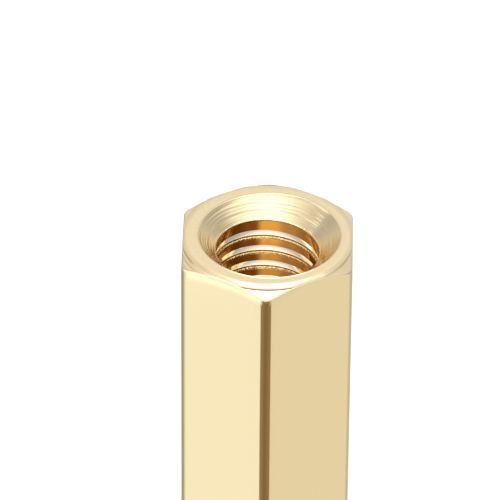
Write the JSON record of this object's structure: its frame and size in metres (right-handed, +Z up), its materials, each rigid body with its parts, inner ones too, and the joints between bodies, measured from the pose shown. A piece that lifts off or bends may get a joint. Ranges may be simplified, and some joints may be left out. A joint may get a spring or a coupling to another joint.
{
  "type": "hex standoff",
  "caption": "Brass hexagonal standoff with a threaded hole right through, countersunk and chamfered at each end.",
  "frame": {"origin": "centre of the lower end face, on the axis of the threaded hole", "axes": "+Z up along the threaded hole; the corners of the hexagon lie on the Y axis, and its flats face along X"},
  "size_m": [0.0046, 0.0052, 0.012],
  "materials": {
    "brass": "bright turned ends and drawn flats"
  },
  "bodies": {
    "root": {"standoff": "brass"}
  },
  "joints": []
}
